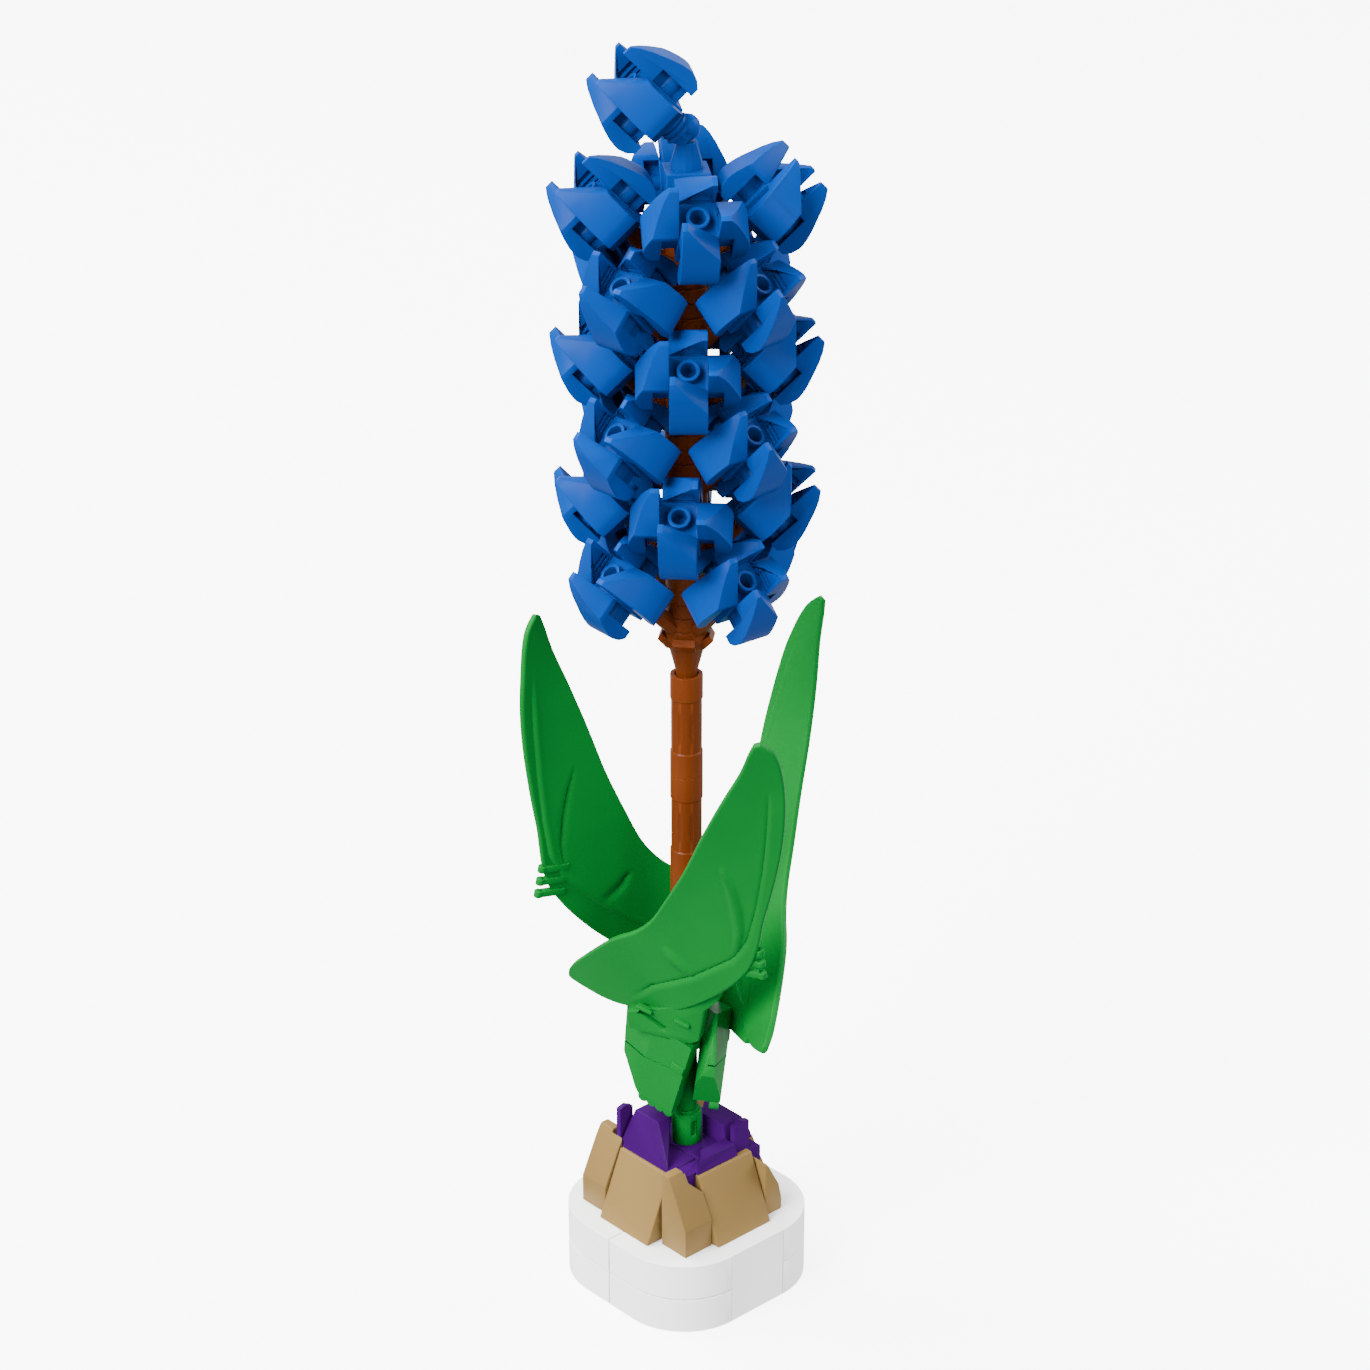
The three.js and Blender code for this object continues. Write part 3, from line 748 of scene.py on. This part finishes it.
def build_head():
    pattern = floret()
    places = {"floret_top": floret_place(CROWN_AZIMUTH, CROWN_R, CROWN_Z)}
    for ring in range(RINGS):
        height = RING_TOP - ring * RING_STEP
        for quarter in range(4):
            azimuth = RING_AZIMUTH + ring * RING_TWIST + (ring % 2) * 45 + quarter * 90
            places[f"floret_{ring + 1}_{quarter + 1}"] = floret_place(azimuth, RING_R, height)
    for node, matrix in places.items():
        bloom = copy_piece(pattern, f"{node}_bloom", matrix)
        finish_piece(bloom, BLUE, "blue_plastic", node)
    bpy.data.objects.remove(pattern)


def build_crown():
    """The joint under the top floret: a cone, an elbow and a ribbed barrel."""
    cone = round_edges(copy_of_node("crown_cone", "crown_cone_cap"), EDGE, 3)
    collar = cuboid("collar", CROWN_COLLAR_XY, CROWN_COLLAR_XY, CROWN_COLLAR_Z)
    round_edges(place(collar, Matrix.Rotation(math.radians(RING_AZIMUTH), 4, "Z")))
    finish_piece(join(cone, collar), BLUE, "blue_plastic", "crown_cone")

    elbow = round_edges(copy_of_node("crown_elbow", "crown_elbow_joint"), EDGE, 3)
    turn = Matrix.Rotation(math.radians(CROWN_AZIMUTH), 4, "Z")
    lift = Matrix.Translation(Vector((0, 0, CROWN_Z - CROWN_R)) * MM)
    barrel_place = turn @ lift @ Matrix.Rotation(RECLINE, 4, "Y")
    ribs = []
    for index in range(BARREL_RIBS):
        low, high = [end + index * BARREL_PITCH for end in BARREL_RIB_Z]
        ribs.append(place(rod(f"rib_{index}", BARREL_R, low, high, 24), barrel_place))
    barrel = round_edges(join(*ribs), BARREL_EDGE, 3)
    finish_piece(join(elbow, barrel), BLUE, "blue_plastic", "crown_elbow")


# ---------- leaves and brackets ----------

def on_curve(points, t):
    """A point on the smooth curve through the points, with t from 0 to 1."""
    spot = t * (len(points) - 1)
    index = min(int(spot), len(points) - 2)
    weight = spot - index
    around = [Vector(points[min(max(index + step, 0), len(points) - 1)]) for step in (-1, 0, 1, 2)]
    before, start, end, after = around
    leave_by = (end - before) / 2
    arrive_by = (after - start) / 2
    return (
        (2 * start - 2 * end + leave_by + arrive_by) * weight ** 3
        + (3 * end - 3 * start - 2 * leave_by - arrive_by) * weight ** 2
        + leave_by * weight + start
    )


def from_path(spot, path):
    """How far a spot is from a path, which side it is on, and its share of the way along, from 0 to 1."""
    best = (math.inf, 0, 0)
    for index, (start, end) in enumerate(zip(path, path[1:])):
        start, end = Vector(start), Vector(end)
        step = end - start
        share = min(max((spot - start).dot(step) / step.length_squared, 0), 1)
        away = spot - start - step * share
        side = 1 if step.x * away.y - step.y * away.x > 0 else -1
        if away.length < best[0]:
            best = (away.length, side, (index + share) / (len(path) - 1))
    return best


def soft_step(value):
    value = min(max(value, 0), 1)
    return value * value * (3 - 2 * value)


def bell(away, width):
    return math.exp(-(away / width) ** 2)


def relief(spot):
    """How far the blade's skin stands out: a raised band beside the crease, and two ribs that taper off."""
    away, side, share = from_path(spot, CREASE)
    fade = soft_step(share / CREASE_FADES[0]) * soft_step((1 - share) / CREASE_FADES[1])
    band = BAND * soft_step(0.5 + side * away / BAND_WIDTH)
    height = band * fade - GROOVE * bell(away, GROOVE_WIDTH) * fade
    for rib in RIBS:
        away, _, share = from_path(spot, rib)
        swell = math.sin(math.pi * min(max(share, 0.001), 0.999))
        height += RIB_HEIGHT * swell ** 0.5 * bell(away, RIB_END_WIDTH + RIB_SWELL * swell)
    return height


def curl(spot):
    return CURL[0] * spot.x ** 2 + CURL[1] * spot.y ** 2 + CURL[2] * spot.x * spot.y


def blade():
    """The leaf's blade, a fine grid laid between its two edges, curled, creased and thickened.

    The grid's columns crowd towards the two edges, where the blade thins in a quarter circle to its rim.
    """
    deselect()
    bpy.ops.mesh.primitive_grid_add(x_subdivisions=BLADE_COLUMNS, y_subdivisions=BLADE_ROWS, size=1)
    sheet = named("blade")
    thickness = sheet.vertex_groups.new(name="thickness")
    ends = [on_curve(OUTER_EDGE, end).lerp(on_curve(INNER_EDGE, end), 0.5) for end in (0, 1)]
    for vertex in sheet.data.vertices:
        along = 0.5 - vertex.co.y
        across = 0.5 - 0.5 * math.cos(math.pi * (0.5 - vertex.co.x))
        outer, inner = on_curve(OUTER_EDGE, along), on_curve(INNER_EDGE, along)
        spot = outer.lerp(inner, across)
        middle = outer.lerp(inner, 0.5)
        to_rim = min(across, 1 - across) * (outer - inner).length
        to_end = min((middle - end).length for end in ends)
        inside = min(min(to_rim, to_end) / RIM_R, 1)
        fullness = math.sqrt(1 - (1 - inside) ** 2)
        thickness.add([vertex.index], RIM_THINNEST + (1 - RIM_THINNEST) * fullness, "REPLACE")
        vertex.co = Vector((spot.x, spot.y, curl(spot) + relief(spot))) * MM
    modify(sheet, "SOLIDIFY", thickness=BLADE * MM, offset=0, vertex_group="thickness")
    smooth(sheet, 60)
    return sheet


def on_neck(x, y, turn):
    """A place on the neck's front, turned in degrees."""
    return Matrix.Translation(Vector((x, y, NECK_FRONT)) * MM) @ Matrix.Rotation(math.radians(turn), 4, "Z")


def neck(outline):
    """The slotted plate that carries the blade down into its bracket, with two short bars on it."""
    deselect()
    bpy.ops.mesh.primitive_circle_add(vertices=len(outline), radius=MM, fill_type="NGON")
    plate = named("neck")
    for vertex, (x, y) in zip(plate.data.vertices, reversed(outline)):
        vertex.co = Vector((x, y, NECK_BACK)) * MM
    faces_where(plate, lambda centre, normal: True)
    extrude_up(NECK_FRONT - NECK_BACK)
    bpy.ops.mesh.select_all(action="SELECT")
    bpy.ops.mesh.normals_make_consistent(inside=False)
    leave()
    carve(plate, place(cuboid("slot", *NECK_SLOT), on_neck(*NECK_SLOT_AT, NECK_SLOT_TURN)))
    round_edges(plate, NECK_EDGE, 3)
    bars = []
    for index, at in enumerate(NECK_BARS_AT):
        bar = round_edges(cuboid(f"bar_{index}", *NECK_BAR), NECK_BAR_EDGE, 4)
        bars.append(place(bar, on_neck(*at, NECK_BAR_TURN)))
    return join(plate, *bars)


def teeth():
    """Small claws beyond the elbow, each with a round lip."""
    made = []
    for index in range(TEETH):
        low = TOOTH_START + index * TOOTH_PITCH
        claw = cuboid(f"claw_{index}", CLAW_X, (low, low + TOOTH_WIDTH), CLAW_Z)
        lip = rod(f"lip_{index}", LIP_R, 0, TOOTH_WIDTH, 20)
        at = Matrix.Translation(Vector((LIP_X, low, 0)) * MM)
        place(lip, at @ Matrix.Rotation(math.radians(-90), 4, "X"))
        made += [round_edges(claw, EDGE, 3), round_edges(lip, EDGE, 3)]
    return made


def leaf_place(at, turn, lean, roll):
    """Where a leaf goes: its elbow's place, its turn about the stem, then its lean and roll."""
    turned = Matrix.Rotation(math.radians(turn), 4, "Z") @ Matrix.Rotation(math.radians(lean), 4, "X")
    return Matrix.Translation(Vector(at) * MM) @ turned @ Matrix.Rotation(math.radians(roll), 4, "Z")


def bracket_place(side, lift, out):
    """Where a bracket's own frame is: the front one's, turned about the stem, raised and moved out."""
    outward = math.radians(side + BRACKET_POSE[1] - 90)
    move = Matrix.Translation(Vector((out * math.cos(outward), out * math.sin(outward), lift)) * MM)
    return move @ Matrix.Rotation(math.radians(side), 4, "Z") @ leaf_place(*BRACKET_POSE)


def bracket_piece(node, side, lift, out):
    """A bracket with a seam across its folded face, a step at its side and scallops at its foot."""
    bracket = copy_of_node(node, f"{node}_clip")
    where = bracket_place(side, lift, out)
    tilted = where @ Matrix.Rotation(SEAM_TILT, 4, "Z")
    face_seam = cuboid("seam", *FACE_SEAM)
    slope_seam = cuboid("slope_seam", *SLOPE_SEAM)
    bisect(slope_seam, SLOPE_START, SLOPE_NORMAL)
    carve(bracket, place(face_seam, tilted), place(slope_seam, tilted))
    round_edges(bracket, EDGE, 3)
    extras = [cuboid("step", *BRACKET_STEP)]
    for index in range(SCALLOPS):
        scallop = rod(f"scallop_{index}", SCALLOP_R, *SCALLOP_Z, 24)
        extras.append(place(scallop, Matrix.Translation((SCALLOP_START + index * SCALLOP_PITCH) * MM)))
    for extra in extras:
        place(round_edges(extra, EDGE, 3), where)
    return join(bracket, *extras)


def build_leaves():
    pattern = join(blade(), *teeth())
    for node, pose in LEAVES.items():
        leaf = copy_piece(pattern, f"{node}_blade", leaf_place(*pose))
        outline = NARROW_NECK if node == "leaf_left" else NECK
        join(leaf, place(neck(outline), leaf_place(*pose)))
        finish_piece(leaf, GREEN, "green_plastic", node)
        bracket_node = node.replace("leaf", "leaf_bracket")
        bracket = bracket_piece(bracket_node, *BRACKETS[node])
        finish_piece(bracket, GREEN, "green_plastic", bracket_node)
    bpy.data.objects.remove(pattern)


# ---------- studio ----------

def studio_floor():
    deselect()
    bpy.ops.mesh.primitive_plane_add(size=FLOOR_SIZE)
    floor = named("studio_floor")
    material = bpy.data.materials.new("pale_floor")
    material.use_nodes = True
    shader = material.node_tree.nodes["Principled BSDF"]
    place_on = Wire(material.node_tree).node("ShaderNodeTexCoord", output="Object")
    tone = place_on.noise(3, 2).blend((0.87, 0.87, 0.87, 1), (0.89, 0.89, 0.89, 1))
    material.node_tree.links.new(tone.socket, shader.inputs["Base Color"])
    shader.inputs["Roughness"].default_value = 0.7
    shader.inputs["Specular IOR Level"].default_value = 0.2
    shader.inputs["Emission Color"].default_value = (1, 1, 1, 1)
    shader.inputs["Emission Strength"].default_value = FLOOR_GLOW
    floor.data.materials.append(material)
    # The photograph's pale ground throws hardly any light back up, so this one is seen but lights nothing
    floor.visible_diffuse = False
    floor.visible_glossy = False


def from_azimuth(turn, rise):
    """The direction from the flower towards something seen at an azimuth and a height angle."""
    return Vector((math.sin(turn) * math.cos(rise), -math.cos(turn) * math.cos(rise), math.sin(rise)))


def area_light(name, azimuth, elevation, size, power):
    """A soft square lamp aimed at the middle of the flower."""
    turn, rise = math.radians(azimuth), math.radians(elevation)
    lamp = bpy.data.lights.new(name, "AREA")
    lamp.shape = "SQUARE"
    lamp.size = size
    lamp.energy = power
    holder = bpy.data.objects.new(name, lamp)
    holder.visible_camera = False
    bpy.context.scene.collection.objects.link(holder)
    holder.location = AXIS * AIM_HEIGHT * MM + from_azimuth(turn, rise) * LAMP_DISTANCE
    holder.rotation_euler = (math.pi / 2 - rise, 0, turn)


def camera():
    data = bpy.data.cameras.new("photo_camera")
    data.sensor_fit = "HORIZONTAL"
    data.sensor_width = 36
    data.lens = LENS
    data.shift_x = AXIS_OFFSET
    data.clip_start = 0.01
    holder = bpy.data.objects.new("photo_camera", data)
    bpy.context.scene.collection.objects.link(holder)
    back = from_azimuth(CAMERA_AZIMUTH, CAMERA_ELEVATION)
    holder.location = (AXIS * AIM_HEIGHT + back * CAMERA_DISTANCE) * MM
    holder.rotation_euler = (math.pi / 2 - CAMERA_ELEVATION, 0, CAMERA_AZIMUTH)
    bpy.context.scene.camera = holder


def world_light(strength):
    world = bpy.data.worlds.new("studio_world")
    bpy.context.scene.world = world
    world.use_nodes = True
    background = world.node_tree.nodes["Background"]
    background.inputs["Color"].default_value = (0.97, 0.98, 1, 1)
    background.inputs["Strength"].default_value = strength


build_base()
build_bulb()
build_stem()
build_head()
build_crown()
build_leaves()

studio_floor()
camera()
world_light(1)
area_light("key_light", azimuth=-90, elevation=36, size=LARGE_LAMP, power=340)
area_light("back_light", azimuth=-165, elevation=52, size=LARGE_LAMP, power=230)
area_light("right_light", azimuth=65, elevation=30, size=SMALL_LAMP, power=110)
area_light("fill_light", azimuth=-12, elevation=18, size=SMALL_LAMP, power=60)
